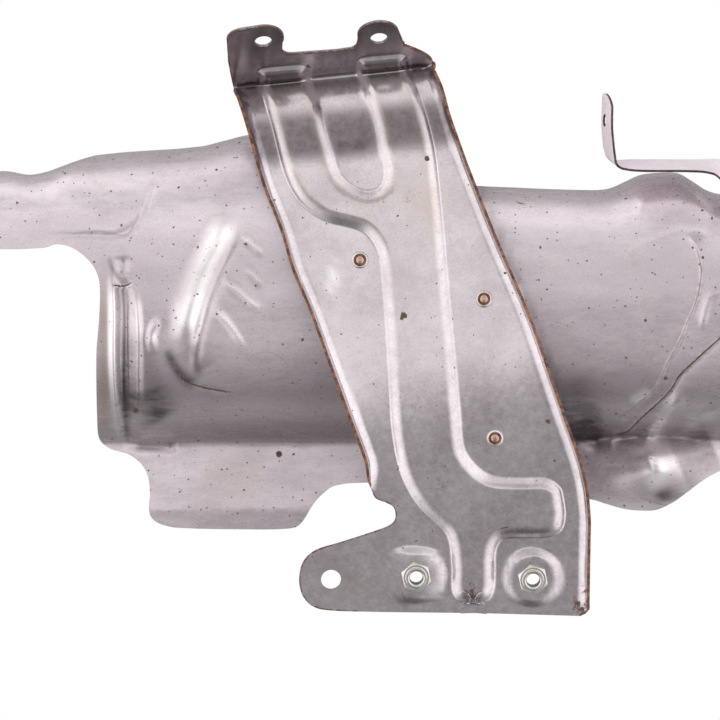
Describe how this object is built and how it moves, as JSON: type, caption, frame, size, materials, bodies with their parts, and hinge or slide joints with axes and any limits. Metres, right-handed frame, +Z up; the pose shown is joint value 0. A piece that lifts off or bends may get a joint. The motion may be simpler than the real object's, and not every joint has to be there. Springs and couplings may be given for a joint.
{
  "type": "exhaust heat shield",
  "caption": "Pressed exhaust heat shield: a long trough of thin sheet, crossed by a riveted stamped bracket with a raised bead, eared flange, lug and pressed-in nuts, and a twisted strap.",
  "frame": {"origin": "on the floor, under the middle of the outer box, the trough lying open side down", "axes": "+X along the trough, from the end with the narrow arm to the end with the strap; +Y towards the eared flange of the bracket; +Z up, out of the crown"},
  "size_m": [0.4502, 0.2982, 0.0879],
  "materials": {
    "aluminised_sheet": "dull aluminised sheet, wrinkled, with dark specks",
    "galvanised_sheet": "dull galvanised, rusty brown at the cut edges",
    "aluminised_strap": "dull",
    "rivet_body": "dull, brown in the dished ring",
    "rivet_stem": "coppery broken stem",
    "nut_plating": "worn zinc plating"
  },
  "bodies": {
    "root": {"shield_sheet": "aluminised_sheet", "main_bracket": "galvanised_sheet", "strap_bracket": "aluminised_strap", "rivet_upper_left": "rivet_body", "rivet_upper_right": "rivet_body", "rivet_lower": "rivet_body", "mandrel_upper_left": "rivet_stem", "mandrel_upper_right": "rivet_stem", "mandrel_lower": "rivet_stem", "nut_left": "nut_plating", "nut_right": "nut_plating", "strap_rivet_inner": "rivet_body", "strap_rivet_outer": "rivet_body", "strap_mandrel_inner": "rivet_stem", "strap_mandrel_outer": "rivet_stem"}
  },
  "joints": []
}
